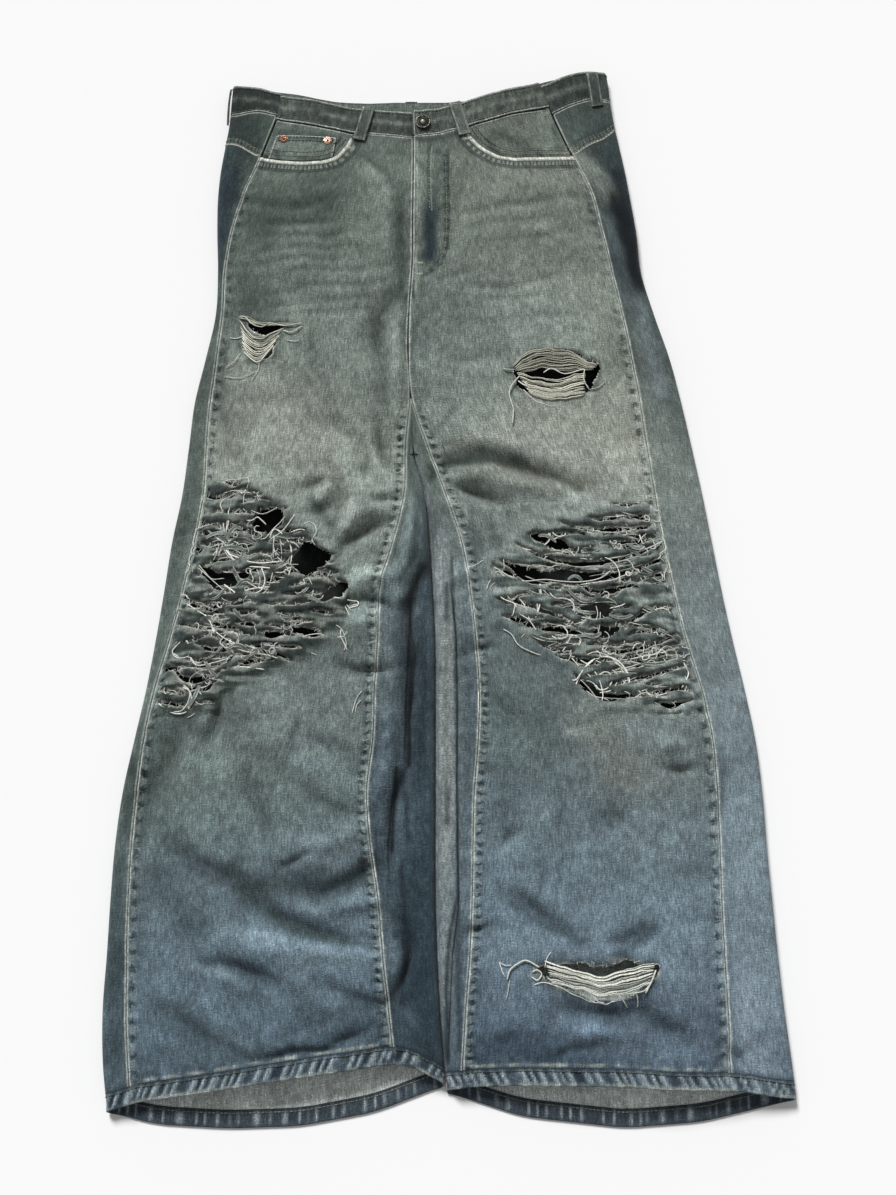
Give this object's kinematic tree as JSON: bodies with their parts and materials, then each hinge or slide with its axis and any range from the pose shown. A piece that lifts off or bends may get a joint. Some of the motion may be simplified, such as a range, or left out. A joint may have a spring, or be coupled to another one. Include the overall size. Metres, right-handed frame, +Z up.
{
  "type": "ripped jeans",
  "caption": "Straight-leg ripped denim jeans laid flat on their back, washed and faded, with torn thighs, knees and shin and open legs and waist.",
  "frame": {"origin": "on the surface that the garment lies on, under the middle of its box", "axes": "+X to the viewer's right with the front up, +Y from the hems to the waist, +Z up out of the surface"},
  "size_m": [0.6297, 1.1023, 0.0355],
  "materials": {
    "front_denim": "washed cotton denim twill, faded grey-blue",
    "back_denim": "washed cotton denim twill, darker indigo where it wraps round from the back",
    "band_denim": "doubled denim, puckered beside its stitching",
    "hem_denim": "turned denim with slanting worn stripes",
    "button_metal": "blackened metal shank button",
    "rivet_metal": "dull worn copper rivet"
  },
  "bodies": {
    "root": {"back_left": "back_denim", "back_pocket_left": "back_denim", "back_pocket_right": "back_denim", "back_right": "back_denim", "belt_loop_centre_back": "band_denim", "belt_loop_front_left": "band_denim", "belt_loop_front_right": "band_denim", "belt_loop_side_left": "band_denim", "belt_loop_side_right": "band_denim", "button": "button_metal", "coin_pocket": "front_denim", "coin_pocket_rivet_1": "rivet_metal", "coin_pocket_rivet_2": "rivet_metal", "front_left": "front_denim", "front_right": "front_denim", "hem_left": "hem_denim", "hem_right": "hem_denim", "pocket_facing_left": "front_denim", "pocket_facing_right": "front_denim", "waistband_back": "band_denim", "waistband_front_left": "band_denim", "waistband_front_right": "band_denim", "yoke_left": "back_denim", "yoke_right": "back_denim"}
  },
  "joints": []
}
